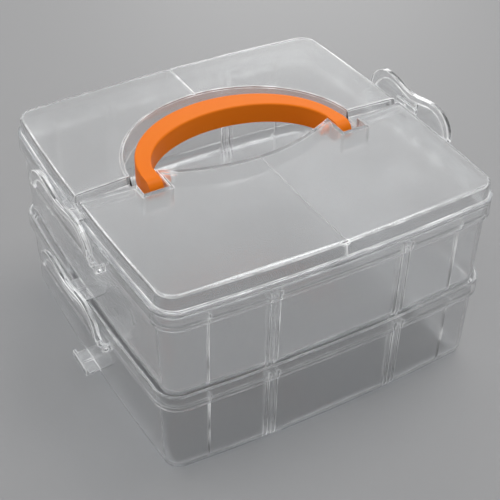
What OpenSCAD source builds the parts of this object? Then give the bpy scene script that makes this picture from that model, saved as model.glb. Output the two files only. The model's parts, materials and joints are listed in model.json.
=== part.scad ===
// Two-tier carry box for art supplies. Two identical clear trays stack under a clear
// lid. A fold-down handle lies in a well in the lid, four side latches hold the tiers
// together, and ribs inside each tray form slots for dividers.
// Millimetres. The origin is the centre of the underside, +Z up, the front faces -Y.

/* [Box] */
// Width across a tray's rim, between its corners, along X
rim_w = 230; // [215:1:245]
// Depth across a tray's rim, between its corners, along Y
rim_d = 219; // [205:1:235]
// Corner radius of the rim, seen from above
rim_r = 13.5; // [13:0.5:20]
// How far the left and right sides bow out beyond their corners
side_bow = 3.5; // [0:0.1:4]
// How far the front and back bow out beyond their corners
front_bow = 4.7; // [0:0.1:5.5]
// Height from one tray's base to the next one's
pitch = 61.5; // [58:0.5:68]
// Thickness of the moulded walls
wall = 2; // [1.6:0.1:2.2]

/* [Trays] */
// Height of the band round a tray's mouth
rim_h = 11.3; // [10:0.1:12]
// How far a tray's wall stands in from its rim at the top
wall_in = 2.5; // [2.3:0.1:3]
// How much further in the wall stands at the foot
draft = 1.2; // [0.8:0.1:1.5]
// Outer radius along the foot
foot_r = 8; // [6:0.5:8]
// Inner radius along the floor
floor_r = 6.5; // [4:0.5:6.5]
// How deep a tray's foot sits in the rim below
nest = 6; // [5:0.5:6.5]

/* [Lid] */
// Height of the lid above its flange
lid_rise = 10; // [10:0.5:14]
// Thickness of the lid's flange
flange_t = 2.5; // [2:0.25:3]
// Thickness of the lid's top
lid_top_t = 2.2; // [1.8:0.1:2.6]
// Half the width of the hand well
well_a = 79; // [78:1:84]
// How far the hand well reaches back from the handle's pivot
well_b = 71.5; // [68:0.5:76]
// Depth of the hand well
well_depth = 17.5; // [17.5:0.1:19]

/* [Handle] */
// Half the outer width of the handle
handle_a = 72.5; // [70:0.5:73]
// Outer reach of the handle from its pivot
handle_b = 61.5; // [58:0.5:64]
// Half the width between the handle's legs
grip_a = 63; // [62.5:0.5:64]
// Inner reach of the handle from its pivot
grip_b = 45.5; // [42:0.5:48]
// Height of the handle's section
handle_h = 14; // [12:0.5:14]
// Radius of the pivot studs
stud_r = 3; // [2.5:0.1:3.5]

/* [Latches] */
// Half the length of a latch
latch_half = 44; // [42:0.5:46]
// Height of a latch's two humps above its hinge pin
hump_h = 27.7; // [26:0.1:30]
// Height of the dip between the humps above the pin
dip_h = 24.2; // [23:0.1:26]
// Distance of the hinge pin from the rim's face
pin_out = 3.2; // [3.2:0.1:4]
// Radius of the hinge pins
pin_r = 1.5; // [1.2:0.1:1.6]
// Width of the catch tabs
tab_w = 22; // [18:1:26]

/* [Divider slots] */
// Distance of each slot from the middle of the tray
slot_x = 45; // [36:1:50]
// Width of a slot
slot_w = 3.2; // [2:0.1:4]
// Thickness of the two ribs beside a slot
rib_t = 2.4; // [1.6:0.1:3]
// Distance of the slender ribs near the corners from the middle of the tray
corner_rib_x = 86; // [80:1:88]

/* [Hidden] */

$fn = 48;
// Half sizes of the rim's outline at its corners, and its furthest points
half_x = rim_w / 2;
half_y = rim_d / 2;
side_x = half_x + side_bow;
front_y = half_y + front_bow;
// Segments in each corner and along each side of an outline
corner_n = 7;
side_n = 6;
// Angle steps round a moulded edge
edge_steps = [0, 30, 60, 90];
// Running clearance between a pin and its hole
running = 0.06;
// Extra length that a cutting shape has
over = 1;

// Heights in one tray, from its base
rim_top = pitch + nest;
rim_low = rim_top - rim_h;
floor_t = wall;
// Insets from the rim's outline
foot_in = wall_in + draft;
rim_edge = 0.6;
// A raised panel fills the middle of each floor
panel_in = 18.5;
panel_r = 4;
panel_h = 0.8;

// Heights of the lid
flange_z = pitch + rim_top;
lid_wall_z = flange_z + flange_t;
lid_z = lid_wall_z + lid_rise;
plug_in = wall + 0.3;
plug_h = 3.5;
lid_wall_in = 2.2;
lid_top_in = 2.6;
lid_edge_r = 2.6;
lid_wall_r = 11.5;
lid_top_r = 10.2;
well_z = lid_z - well_depth;

// The handle lies flush with the lid, and turns about the middle of its section
pivot_z = lid_z - handle_h / 2;
handle_low = lid_z - handle_h;
tail_back = 3;
tail_r = handle_h / 2;
stud_in = 8;
handle_skin = 2.4;
// The two pockets in the lid that hold the handle's ends
pocket_x = grip_a - 1;
pocket_y = 15.5;
// The well's front edge is a shallow arc from pocket to pocket
front_end_y = 3.5;
front_mid_y = -13;
// Grooves in the lid's top
channel_wide = 5.5;
channel_narrow = 2.75;
channel_depth = 6.5;
line_w = 1.4;
line_depth = 0.6;
notch_w = 4.5;
notch_depth = 1.6;

// Latches: the pin lies outside the rim, and the leaf bulges past the tab
pin_x = side_x + pin_out;
pin_z = rim_low + 1.5;
barrel_r = 2.6;
barrel_in = 24;
barrel_out = 40;
ear_t = 2.5;
ear_gap = 0.4;
ear_r = 2.8;
leaf_t = 2;
band_t = 3.6;
band_h = 5;
leaf_clear = 5;
leaf_gap = 1;
hump_y = 25;
shoulder_h = 10;
catch_half = 8;
catch_h = 5;
catch_t = 0.6;
catch_gap = 0.4;
leaf_reach = 12;
tab_z = 11;
tab_t = 2;
tab_out = pin_x + 3;
lip_t = 2.2;
lip_h = 3;
tab_rib = 1.6;

// The ribs stand proud of the walls, and the foot of the tray above rests on their tops
rib_end = half_y - foot_in - wall + 1.2;
rib_top = pitch + 0.4;
corner_rib_t = 1;
corner_rib_end = rib_end - 0.6;

clear_plastic = [0.86, 0.87, 0.88, 0.35];
orange_plastic = [1.0, 0.42, 0.12];

// ---- outlines ----

// A point pushed out so that straight sides become bowed ones
function bowed(p, hx, hy) = [
    p.x * (1 + side_bow / hx * (1 - pow(p.y / hy, 2))),
    p.y * (1 + front_bow / hy * (1 - pow(p.x / hx, 2)))];

// Centre of one of the four corner arcs, and a point on it
function corner_centre(q, hx, hy, r) = [
    (q == 0 || q == 3 ? 1 : -1) * (hx - r),
    (q < 2 ? 1 : -1) * (hy - r)];
function on_corner(q, turn, hx, hy, r) =
    corner_centre(q % 4, hx, hy, r) + r * [cos(90 * (q + turn)), sin(90 * (q + turn))];

// The box's outline seen from above, inset all round, with its own corner radius
function outline(inset, r) =
    let (hx = half_x - inset, hy = half_y - inset)
    [for (q = [0:3]) each concat(
        [for (i = [0:corner_n]) bowed(on_corner(q, i / corner_n, hx, hy, r), hx, hy)],
        [for (j = [1:side_n - 1])
            let (a = on_corner(q, 1, hx, hy, r), b = on_corner(q + 1, 0, hx, hy, r))
            bowed(a + (b - a) * j / side_n, hx, hy)])];

// Half an ellipse behind the pivot, from the right to the left
function half_ellipse(a, b, n = 40) = [for (i = [0:n]) [a * cos(180 * i / n), b * sin(180 * i / n)]];

// A solid skinned over outlines, each given as [height, inset, corner radius]
module moulded(levels) {
    rings = [for (l = levels) outline(l[1], l[2])];
    n = len(rings[0]);
    m = len(levels);
    polyhedron(
        points = [for (k = [0:m - 1]) each [for (p = rings[k]) [p.x, p.y, levels[k][0]]]],
        faces = concat(
            [[for (i = [0:n - 1]) i]],
            [[for (i = [n - 1:-1:0]) (m - 1) * n + i]],
            [for (k = [0:m - 2], i = [0:n - 1]) [k * n + i, (k + 1) * n + i, (k + 1) * n + (i + 1) % n]],
            [for (k = [0:m - 2], i = [0:n - 1]) [k * n + i, (k + 1) * n + (i + 1) % n, k * n + (i + 1) % n]]));
}

// ---- trays ----

module tray_outside() {
    moulded(concat(
        [for (t = edge_steps) let (inset = foot_in + foot_r * (1 - sin(t)))
            [foot_r * (1 - cos(t)), inset, rim_r - inset]],
        [[rim_low, wall_in, rim_r - wall_in],
         [rim_low, rim_edge, rim_r - rim_edge],
         [rim_low + rim_edge, 0, rim_r],
         [rim_top - rim_edge, 0, rim_r],
         [rim_top, rim_edge, rim_r - rim_edge]]));
}

module tray_inside() {
    low_in = foot_in + wall;
    difference() {
        moulded(concat(
            [for (t = edge_steps) let (inset = low_in + floor_r * (1 - sin(t)))
                [floor_t + floor_r * (1 - cos(t)), inset, rim_r - inset]],
            [[rim_low + wall, wall_in + wall, rim_r - wall_in - wall],
             [rim_low + wall, wall, rim_r - wall],
             [rim_top + over, wall, rim_r - wall]]));
        moulded([[0, panel_in, panel_r],
                 [floor_t, panel_in, panel_r],
                 [floor_t + panel_h, panel_in + panel_h, panel_r]]);
        ribs();
    }
}

// Upright ribs on the front and back walls: a pair beside each slot, and one near each corner
module ribs() {
    step = (slot_w + rib_t) / 2;
    for (end = [-1, 1]) {
        for (x = [-slot_x, slot_x], s = [-step, step])
            rib(x + s, rib_t, rib_end, end);
        for (x = [-corner_rib_x, corner_rib_x])
            rib(x, corner_rib_t, corner_rib_end, end);
    }
}

module rib(x, t, inner, end) {
    mirror([0, end < 0 ? 1 : 0, 0])
        translate([x - t / 2, inner, 0])
            cube([t, front_y - inner, rib_top]);
}

// A catch tab on the middle of one side: a plate, an upturned lip and a stiffening rib
module tab(side, root_x, z) {
    mirror([side < 0 ? 1 : 0, 0, 0]) {
        translate([root_x, -tab_w / 2, z - tab_t])
            cube([tab_out - root_x, tab_w, tab_t]);
        translate([tab_out - lip_t, -tab_w / 2, z - tab_t])
            cube([lip_t, tab_w, tab_t + lip_h]);
        translate([root_x, -tab_rib / 2, z - tab_t])
            cube([tab_out - root_x - lip_t / 2, tab_rib, tab_t + tab_rib]);
    }
}

// Two ears hold each of a latch's barrels
module ears(side) {
    root = side_x - wall;
    starts = [barrel_in - ear_gap - ear_t, barrel_out + ear_gap];
    mirror([side < 0 ? 1 : 0, 0, 0])
        for (y0 = concat(starts, [for (s = starts) -s - ear_t]))
            translate([0, y0 + ear_t, 0]) rotate([90, 0, 0])
                linear_extrude(ear_t) {
                    translate([pin_x, pin_z]) circle(ear_r);
                    translate([root, pin_z - ear_r]) square([pin_x - root, 2 * ear_r]);
                }
}

module pin_holes() {
    reach = barrel_out + ear_gap + ear_t + over;
    for (x = [-pin_x, pin_x])
        translate([x, reach, pin_z]) rotate([90, 0, 0])
            cylinder(r = pin_r + running, h = 2 * reach);
}

module tray() {
    difference() {
        union() {
            difference() {
                tray_outside();
                tray_inside();
            }
            for (side = [-1, 1]) {
                ears(side);
                tab(side, side_x - foot_in - wall / 2, tab_z);
            }
        }
        pin_holes();
    }
}

module lower_tray() color(clear_plastic) tray();
module upper_tray() color(clear_plastic) translate([0, 0, pitch]) tray();

// ---- lid ----

module lid_outside() {
    moulded(concat(
        [[flange_z - plug_h, plug_in, rim_r - plug_in],
         [flange_z, plug_in, rim_r - plug_in],
         [flange_z, rim_edge, rim_r - rim_edge],
         [flange_z + rim_edge, 0, rim_r],
         [lid_wall_z - rim_edge, 0, rim_r],
         [lid_wall_z, rim_edge, rim_r - rim_edge],
         [lid_wall_z, lid_wall_in, lid_wall_r]],
        [for (t = edge_steps)
            [lid_z - lid_edge_r * (1 - sin(t)), lid_top_in + lid_edge_r * (1 - cos(t)),
             lid_top_r - lid_edge_r * (1 - cos(t))]]));
}

module lid_inside() {
    plug_wall_in = plug_in + wall;
    top_in = lid_top_in + wall;
    moulded([
        [flange_z - plug_h - over, plug_wall_in, rim_r - plug_wall_in],
        [flange_z, plug_wall_in, rim_r - plug_wall_in],
        [lid_wall_z + wall, lid_wall_in + wall, lid_wall_r - wall],
        [lid_z - lid_edge_r, top_in, lid_top_r - wall],
        [lid_z - lid_top_t, top_in + lid_edge_r - wall, lid_top_r - lid_edge_r]]);
}

// The hand well's outline: half an ellipse behind, a shallow arc in front, a pocket at each end
function well_outline(grow) =
    let (n = 16, x1 = pocket_x - grow, y1 = -pocket_y - grow)
    concat(
        half_ellipse(well_a + grow, well_b + grow),
        [[-well_a - grow, y1], [-x1, y1]],
        [for (i = [0:n]) let (x = -x1 + 2 * x1 * i / n, y = front_mid_y
                + (front_end_y - front_mid_y) * pow(x / pocket_x, 2)) [x, y - grow]],
        [[x1, y1], [well_a + grow, y1]]);

// A channel that narrows from the well's end to the lid's side
module side_channel(side, grow, low) {
    mirror([side < 0 ? 1 : 0, 0, 0])
        translate([0, 0, low])
            linear_extrude(lid_z + over - low)
                polygon([[well_a - over, -channel_wide - grow], [side_x, -channel_narrow - grow],
                         [side_x, channel_narrow + grow], [well_a - over, channel_wide + grow]]);
}

module lid_pressed_in(grow, drop) {
    translate([0, 0, well_z - drop])
        linear_extrude(lid_z + over - well_z + drop)
            polygon(well_outline(grow));
    for (side = [-1, 1])
        side_channel(side, grow, lid_z - channel_depth - drop);
}

// A fine line down the middle of the lid, with a notch and a groove at each edge
module centre_lines() {
    for (end = [-1, 1]) {
        y0 = end > 0 ? well_b - over : -front_y;
        y1 = end > 0 ? front_y : front_mid_y + over;
        translate([-line_w / 2, y0, lid_z - line_depth])
            cube([line_w, y1 - y0, over]);
        face_y = end * (front_y - lid_top_in);
        translate([-notch_w / 2, face_y - notch_depth, lid_z - lid_edge_r])
            cube([notch_w, 2 * notch_depth, lid_edge_r + over]);
        translate([-line_w / 2, face_y - line_depth, lid_wall_z])
            cube([line_w, 2 * line_depth, lid_rise]);
    }
}

module lid() color(clear_plastic) difference() {
    union() {
        difference() {
            lid_outside();
            difference() {
                lid_inside();
                lid_pressed_in(wall, wall);
            }
        }
        for (side = [-1, 1])
            tab(side, side_x - lid_wall_in - wall / 2, 2 * pitch + tab_z);
    }
    lid_pressed_in(0, 0);
    centre_lines();
    translate([-pocket_x - over, 0, pivot_z]) rotate([0, 90, 0])
        cylinder(r = stud_r + running, h = 2 * pocket_x + 2 * over);
}

// ---- handle ----

module handle_plan(shrink, back) {
    a = handle_a - shrink;
    g = grip_a + shrink;
    polygon(concat(
        half_ellipse(a, handle_b - shrink), [[-a, back], [-g, back]],
        half_ellipse(-g, grip_b + shrink), [[g, back], [a, back]]));
}

module handle() color(orange_plastic) {
    leg_w = handle_a - grip_a;
    difference() {
        union() {
            translate([0, 0, handle_low]) linear_extrude(handle_h) handle_plan(0, -tail_back);
            for (x = [grip_a, -handle_a])
                translate([x, -tail_back, pivot_z]) rotate([0, 90, 0])
                    cylinder(r = tail_r, h = leg_w);
        }
        // The underside is hollow between the two legs' ends
        translate([0, 0, handle_low - over]) linear_extrude(handle_h - handle_skin + over)
            intersection() {
                handle_plan(handle_skin, -tail_back);
                translate([-handle_a, handle_h]) square([2 * handle_a, handle_b]);
            }
    }
    for (x = [grip_a - stud_in, -grip_a])
        translate([x, 0, pivot_z]) rotate([0, 90, 0])
            cylinder(r = stud_r, h = stud_in);
}

// ---- latches, drawn for the right side with the pin on the Y axis at the origin ----

// Height of a latch's top edge above the pin: two humps with a dip between them
function latch_edge(y) =
    let (a = abs(y))
    a < hump_y
        ? dip_h + (hump_h - dip_h) * (1 - cos(180 * a / hump_y)) / 2
        : shoulder_h + (hump_h - shoulder_h)
            * sqrt(max(0, 1 - pow((a - hump_y) / (latch_half - hump_y), 2)));

// The top edge's points, and the same points drawn in by the width of the band
function latch_top(shrink, n = 48) = [for (i = [0:n])
    let (y = latch_half * (2 * i / n - 1))
    [y * (1 - shrink / latch_half), latch_edge(y) - shrink]];

// A shape seen from the side, given thickness outwards
module sideways() {
    rotate([90, 0, 90]) linear_extrude(leaf_reach) children();
}

// The leaf's outline, cut away round the ears
module leaf_face() {
    half = concat(
        [[barrel_out + leaf_gap, leaf_clear], [barrel_out, leaf_clear], [barrel_out, 0],
         [barrel_in, 0], [barrel_in, leaf_clear]]);
    sideways() polygon(concat(latch_top(0), half,
        [for (i = [len(half) - 1:-1:0]) [-half[i].x, half[i].y]]));
}

// What lies below the thick band along the top edge
module below_band() {
    inner = latch_half - band_h;
    sideways() polygon(concat(latch_top(band_h), [[inner, -band_h], [-inner, -band_h]]));
}

// The leaf's section: it swings out past the tab and then rises
module latch_section(t) {
    mid = [[0, 0], [3.2, 3], [4.9, 12], [5.3, 24], [5.3, 32]];
    translate([0, latch_half + over, 0]) rotate([90, 0, 0])
        linear_extrude(2 * latch_half + 2 * over)
            polygon(concat(
                [for (p = mid) p + [t / 2, -t / 5]],
                [for (i = [len(mid) - 1:-1:0]) mid[i] + [-t / 2, t / 5]]));
}

module latch() {
    intersection() {
        leaf_face();
        latch_section(leaf_t);
    }
    intersection() {
        difference() {
            leaf_face();
            below_band();
            translate([-over, -latch_half - over, -leaf_clear])
                cube([leaf_reach + 2 * over, 2 * (latch_half + over), leaf_clear + shoulder_h]);
        }
        latch_section(band_t);
    }
    barrel = barrel_out - barrel_in;
    stub = barrel + 2 * (ear_gap + ear_t);
    for (y = [barrel_out, -barrel_in]) {
        translate([0, y, 0]) rotate([90, 0, 0])
            cylinder(r = barrel_r, h = barrel);
        translate([0, y + ear_gap + ear_t, 0]) rotate([90, 0, 0])
            cylinder(r = pin_r, h = stub);
    }
    translate([tab_out - pin_x + catch_gap, -catch_half, tab_z + pitch - pin_z])
        cube([catch_t + leaf_t / 2, 2 * catch_half, catch_h]);
}

module latch_at(side, tier) color(clear_plastic)
    mirror([side < 0 ? 1 : 0, 0, 0])
        translate([pin_x, 0, pin_z + tier * pitch]) latch();

module latch_lower_left() latch_at(-1, 0);
module latch_lower_right() latch_at(1, 0);
module latch_upper_left() latch_at(-1, 1);
module latch_upper_right() latch_at(1, 1);

lower_tray();
upper_tray();
lid();
handle();
latch_lower_left();
latch_lower_right();
latch_upper_left();
latch_upper_right();
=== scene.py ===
# %% [markdown]
# # A clear two-tier carry box
# The box is a stack of clear moulded plastic: two equal trays, a lid with a well pressed into
# its top, four latches on the sides, and one orange handle. The measured model already holds
# every piece at its place and size, so this lesson finishes those shapes and lights them.
# Everything is in metres, with the box standing on z = 0 and its front towards -y.

# %% Load the measured model
import json
import math

import bpy
from mathutils import Matrix, Vector

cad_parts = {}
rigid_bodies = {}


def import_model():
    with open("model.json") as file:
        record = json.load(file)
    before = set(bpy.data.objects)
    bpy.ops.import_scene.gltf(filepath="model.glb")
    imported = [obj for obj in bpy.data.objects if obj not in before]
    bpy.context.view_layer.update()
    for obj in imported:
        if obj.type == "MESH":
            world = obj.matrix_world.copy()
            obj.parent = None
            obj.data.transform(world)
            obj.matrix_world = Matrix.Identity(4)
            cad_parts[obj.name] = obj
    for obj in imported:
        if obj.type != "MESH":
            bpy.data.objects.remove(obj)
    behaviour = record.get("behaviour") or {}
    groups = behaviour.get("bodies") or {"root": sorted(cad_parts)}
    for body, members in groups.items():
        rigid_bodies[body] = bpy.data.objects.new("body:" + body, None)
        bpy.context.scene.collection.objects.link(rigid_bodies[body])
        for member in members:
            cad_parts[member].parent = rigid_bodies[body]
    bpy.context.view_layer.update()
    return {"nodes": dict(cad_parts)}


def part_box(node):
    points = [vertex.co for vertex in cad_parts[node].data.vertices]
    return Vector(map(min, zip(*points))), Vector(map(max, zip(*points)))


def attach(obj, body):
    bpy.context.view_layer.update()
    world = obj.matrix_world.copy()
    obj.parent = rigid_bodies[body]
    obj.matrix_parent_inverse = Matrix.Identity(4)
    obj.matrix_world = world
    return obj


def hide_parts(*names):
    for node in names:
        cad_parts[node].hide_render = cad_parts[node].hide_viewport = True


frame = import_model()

print("nodes:", ", ".join(frame["nodes"]))

# %% [markdown]
# An operator works on all that is selected, and the model arrives selected. Each step
# therefore begins by dropping the selection and picking the one object it shapes.

# %% Choose one object
MM = 0.001


def choose(piece):
    """Makes this object the only selected one, and the active one."""
    for other in bpy.context.view_layer.objects:
        other.select_set(False)
    piece.select_set(True)
    bpy.context.view_layer.objects.active = piece


for name in frame["nodes"]:
    low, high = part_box(name)
    print(name, [round(v / MM, 1) for v in high - low], "mm")

# %% [markdown]
# Seen close, no moulded edge is sharp: each has a small radius from the mould, and on clear
# plastic that radius is the bright line that draws the whole shape. The measured meshes have
# sharp edges. A shape could be drawn again from primitives, but its sizes would then have to
# be measured twice. Here each mesh is copied instead, its doubles are merged so that
# neighbouring faces share edges, flat areas are dissolved into larger faces, and a bevel
# rounds every edge that turns by more than a given angle. The bevel's faces take the second
# material slot. Its overlap clamp stays off, because one tiny facet would shrink every radius.

# %% Round a moulded piece
MERGE = 0.005 * MM
FLAT = math.radians(0.6)
SMOOTH = math.radians(38)


def moulded(node, name, radius, turn=50, segments=2, only=None):
    """A copy of a measured node with rounded edges, which stands for that node.

    only picks the edges by their two end points. Without it, all sharp edges are rounded."""
    choose(frame["nodes"][node])
    bpy.ops.object.duplicate()
    piece = bpy.context.object
    piece.name = piece.data.name = name
    for key in [k for k in piece.keys() if k.startswith("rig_")]:
        del piece[key]
    piece.parent = None
    choose(piece)
    bpy.ops.object.mode_set(mode="EDIT")
    bpy.ops.mesh.select_all(action="SELECT")
    bpy.ops.mesh.remove_doubles(threshold=MERGE)
    bpy.ops.mesh.dissolve_limited(angle_limit=FLAT)
    bpy.ops.object.mode_set(mode="OBJECT")
    piece.data.materials.clear()
    piece.data.materials.append(None)
    piece.data.materials.append(None)
    edge = piece.modifiers.new("edge radius", "BEVEL")
    edge.width = radius
    edge.segments = segments
    edge.limit_method = "ANGLE"
    edge.angle_limit = math.radians(turn)
    edge.use_clamp_overlap = False
    edge.material = 1
    if only:
        edge.limit_method = "WEIGHT"
        weights = piece.data.attributes.new("bevel_weight_edge", "FLOAT", "EDGE")
        points = piece.data.vertices
        for side, weight in zip(piece.data.edges, weights.data):
            weight.value = float(only(*(points[v].co for v in side.vertices)))
    bpy.ops.object.modifier_apply(modifier=edge.name)
    bpy.ops.object.shade_smooth_by_angle(angle=SMOOTH)
    flat = piece.modifiers.new("flat faces stay flat", "WEIGHTED_NORMAL")
    flat.keep_sharp = True
    bpy.ops.object.modifier_apply(modifier=flat.name)
    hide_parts(node)
    print(name, len(piece.data.polygons), "faces")
    return piece


# %% Trays and lid
TIERS = ("lower", "upper")
shell_radius = 0.35 * MM
trays = [moulded(f"{tier}_tray", f"{tier}_tray_shell", shell_radius) for tier in TIERS]
lid = moulded("lid", "lid_shell", shell_radius)

# The fine line across the front of the deck is shallow, so it keeps the finish of the deck.
line_half = 1.5 * MM
line_front = -105 * MM
for face in lid.data.polygons:
    if abs(face.center.x) < line_half and line_front < face.center.y < 0:
        face.material_index = 0

# %% Latches
latch_names = [f"latch_{tier}_{side}" for tier in TIERS for side in ("left", "right")]
latches = [moulded(n, f"{n}_leaf", 0.3 * MM, turn=40) for n in latch_names]

# %% [markdown]
# A radius on every edge of the handle breaks its mesh at the ends of the legs. Only the two
# arcs of its top face are picked, by weighting those edges.

# %% Handle
handle_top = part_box("handle")[1].z - 0.05 * MM
handle = moulded(
    "handle",
    "handle_grip",
    1.2 * MM,
    segments=4,
    only=lambda a, b: min(a.z, b.z) > handle_top and min(a.y, b.y) > 1 * MM,
)

# %% [markdown]
# Each piece rides on the body that it belongs to, so a pose of the box moves it too.

# %% Bodies and plastics
clear_pieces = [*trays, lid, *latches]
clear_bodies = [*(f"{tier}_tray" for tier in TIERS), "lid", *latch_names]
for piece, body in zip(clear_pieces, clear_bodies):
    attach(piece, body)
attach(handle, "handle")
print(len(clear_pieces), "clear pieces and one orange")

# %% [markdown]
# A finish is a small program of nodes. Written out node by node it is hard to read, so a
# wrapper round a socket lets Python's own operators add the maths nodes: haze * 0.4 + 0.1
# makes a Multiply and an Add. Colours go through Mix nodes, because maths nodes turn a
# colour grey.

# %% Shader words
class Value:
    """A number that changes over a surface, as the socket that gives it."""

    def __init__(self, tree, socket):
        self.tree, self.socket = tree, socket

    def maths(self, operation, first, second):
        step = self.tree.nodes.new("ShaderNodeMath")
        step.operation = operation
        for plug, value in zip(step.inputs, (first, second)):
            fill(self.tree, plug, value)
        return Value(self.tree, step.outputs[0])

    def __add__(self, other):
        return self.maths("ADD", self, other)

    def __mul__(self, other):
        return self.maths("MULTIPLY", self, other)

    __radd__ = __add__
    __rmul__ = __mul__


def fill(tree, plug, value):
    """Links a value into an input, or types a constant into it."""
    if isinstance(value, Value):
        tree.links.new(value.socket, plug)
    elif hasattr(value, "__len__") and len(value) == 3 and plug.type == "RGBA":
        plug.default_value = (*value, 1)
    else:
        plug.default_value = value


class Finish:
    """A material built on one Principled shader."""

    def __init__(self, name):
        self.material = bpy.data.materials.new(name)
        self.material.use_nodes = True
        self.tree = self.material.node_tree
        self.shader = self.tree.nodes["Principled BSDF"]

    def node(self, kind, settings=None, output=0, **values):
        """Adds a node, sets it up, fills its inputs, and gives one of its outputs."""
        made = self.tree.nodes.new("ShaderNode" + kind)
        for key, setting in (settings or {}).items():
            setattr(made, key, setting)
        for key, value in values.items():
            fill(self.tree, made.inputs[key.replace("_", " ")], value)
        return Value(self.tree, made.outputs[output])

    def set(self, **values):
        for key, value in values.items():
            fill(self.tree, self.shader.inputs[key.replace("_", " ")], value)

    def place(self):
        return self.node("TexCoord", output="Object")

    def mixed(self, factor, first, second):
        """One colour that turns into another where the factor rises."""
        blend = self.node("Mix", {"data_type": "RGBA"}).socket.node
        for key, value in (("Factor_Float", factor), ("A_Color", first), ("B_Color", second)):
            plug = next(p for p in blend.inputs if p.identifier == key)
            fill(self.tree, plug, value)
        result = next(p for p in blend.outputs if p.identifier == "Result_Color")
        return Value(self.tree, result)

    def wear(self, *pieces, slot=0):
        """Puts this finish on the pieces' faces, or with slot 1 on their rounded edges."""
        for piece in pieces:
            piece.data.materials[slot] = self.material
        print(self.material.name, "on", ", ".join(p.name for p in pieces))


# %% [markdown]
# Clear plastic passes most light and scatters a little, which gives it a milky cast. The haze
# is its roughness, which noise varies between cloudy and clean patches, and a thin hard coat
# keeps the highlights crisp. A lamp's rays go straight through in part: traced as bent light
# they would seldom find a lamp, and the inside of the box would stay dark.

# %% Clear plastic
def clear_finish(name, haze, milk):
    """Clear moulded plastic: glossy, a little milky, and gently wavy from the mould."""
    plastic = Finish(name)
    place = plastic.place()
    cloud = plastic.node("TexNoise", Vector=place, Scale=22.0, Detail=3.0)
    scuff = plastic.node("TexNoise", Vector=place, Scale=240.0, Detail=4.0)
    wave = plastic.node("TexNoise", Vector=place, Scale=30.0, Detail=1.0)
    plastic.set(
        Base_Color=(0.93, 0.935, 0.94),
        IOR=1.46,
        Transmission_Weight=1 - milk,
        Roughness=haze * (0.5 + cloud * 0.7 + scuff * 0.3),
        Coat_Weight=0.6,
        Coat_Roughness=0.03,
        Normal=plastic.node("Bump", Height=wave, Strength=0.08, Distance=0.002),
    )
    through = plastic.node("BsdfTransparent", Color=(0.93, 0.94, 0.95))
    lamp_ray = plastic.node("LightPath", output="Is Shadow Ray")
    both = plastic.tree.nodes.new("ShaderNodeMixShader")
    fill(plastic.tree, both.inputs[0], lamp_ray * (1 - milk))
    plastic.tree.links.new(plastic.shader.outputs[0], both.inputs[1])
    plastic.tree.links.new(through.socket, both.inputs[2])
    plastic.tree.links.new(both.outputs[0], plastic.tree.nodes["Material Output"].inputs["Surface"])
    return plastic


# %% Shells and latches
shell_plastic = clear_finish("clear_shell_plastic", 0.17, 0.12)
latch_plastic = clear_finish("clear_latch_plastic", 0.05, 0.06)
shell_plastic.wear(*trays, lid)
latch_plastic.wear(*latches)

# %% [markdown]
# The rounded edges have a milkier finish, and they give off a little light that comes and
# goes along them. Real edges gather light from inside the sheet. This is a stand-in for that,
# with its strength chosen.

# %% Edges
edge_plastic = clear_finish("clear_plastic_edge", 0.2, 0.45)
sparkle = edge_plastic.node("TexNoise", Vector=edge_plastic.place(), Scale=75.0, Detail=3.0)
glint = edge_plastic.node("MapRange", Value=sparkle, From_Min=0.42, From_Max=0.68)
edge_plastic.set(
    Base_Color=(1, 1, 1),
    Emission_Color=edge_plastic.mixed(glint, (0.03, 0.03, 0.03), (1, 1, 1)),
    Emission_Strength=0.5,
)
edge_plastic.wear(*clear_pieces, slot=1)

# %% [markdown]
# The handle is a solid orange with a satin surface. Its tone drifts slightly, and a fine grain
# breaks up the highlight.

# %% Orange plastic
orange = Finish("orange_handle_plastic")
place = orange.place()
tone = orange.node("TexNoise", Vector=place, Scale=35.0, Detail=3.0)
grain = orange.node("TexNoise", Vector=place, Scale=1600.0, Detail=2.0)
orange.set(
    Base_Color=orange.mixed(tone, (1.0, 0.2, 0.0), (1.0, 0.235, 0.003)),
    Specular_IOR_Level=0.2,
    Roughness=0.38 + grain * 0.14,
    Normal=orange.node("Bump", Height=grain, Strength=0.12, Distance=0.0002),
)
orange.wear(handle)
orange.wear(handle, slot=1)

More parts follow.
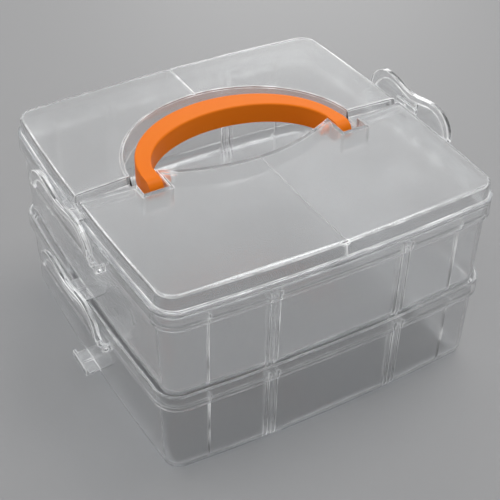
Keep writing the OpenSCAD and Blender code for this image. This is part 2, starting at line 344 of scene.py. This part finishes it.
# %% [markdown]
# The box stands on a plain floor, which isn't part of it. The light is soft and even, with
# three lamps: one high on the right, which shows in the front edges, and two behind, which
# show in the back and left edges. None lies where the flat deck would mirror it.

# %% Floor
bpy.ops.mesh.primitive_plane_add(size=40)
table = bpy.context.object
table.name = "table"
table.data.materials.append(None)
cover = Finish("table_cover")
mottle = cover.node("TexNoise", Vector=cover.place(), Scale=1.2, Detail=2.0)
cover.set(Base_Color=cover.mixed(mottle, (0.38, 0.38, 0.385), (0.40, 0.40, 0.405)), Roughness=0.55)
cover.wear(table)

# %% Light
room = bpy.data.worlds.new("studio")
bpy.context.scene.world = room
room.use_nodes = True
room.node_tree.nodes["Background"].inputs["Color"].default_value = (1, 1, 1, 1)
room.node_tree.nodes["Background"].inputs["Strength"].default_value = 0.5


aim_height = 0.08


def soft_box(name, place, size, power):
    """A square area light that faces the middle of the box."""
    light = bpy.data.lights.new(name, "AREA")
    light.size = size
    light.energy = power
    lamp = bpy.data.objects.new(name, light)
    bpy.context.scene.collection.objects.link(lamp)
    lamp.location = place
    aim = Vector((0, 0, aim_height)) - Vector(place)
    lamp.rotation_euler = aim.to_track_quat("-Z", "Y").to_euler()


soft_box("top_light", (0.45, 0.0, 1.2), 0.6, 4.6)
soft_box("low_back_light", (0.75, 1.15, 0.42), 0.6, 3)
soft_box("left_back_light", (-0.75, 0.9, 0.8), 0.5, 3)
print("lamps:", ", ".join(lamp.name for lamp in bpy.data.lights))

# %% Camera
lens = bpy.data.cameras.new("camera")
lens.lens = 81.04
lens.sensor_width = 36
camera = bpy.data.objects.new("camera", lens)
bpy.context.scene.collection.objects.link(camera)
ahead = Vector((0.399, 0.673, -0.623)).normalized()
level = ahead.cross(Vector((0, 0, 1))).normalized()
camera.matrix_world = (
    Matrix.Translation((-0.2995, -0.5107, 0.52925))
    @ Matrix((level, level.cross(ahead), -ahead)).transposed().to_4x4()
    @ Matrix.Rotation(math.radians(1.05), 4, "Z")
)
bpy.context.scene.camera = camera
bpy.context.scene.view_settings.view_transform = "Standard"
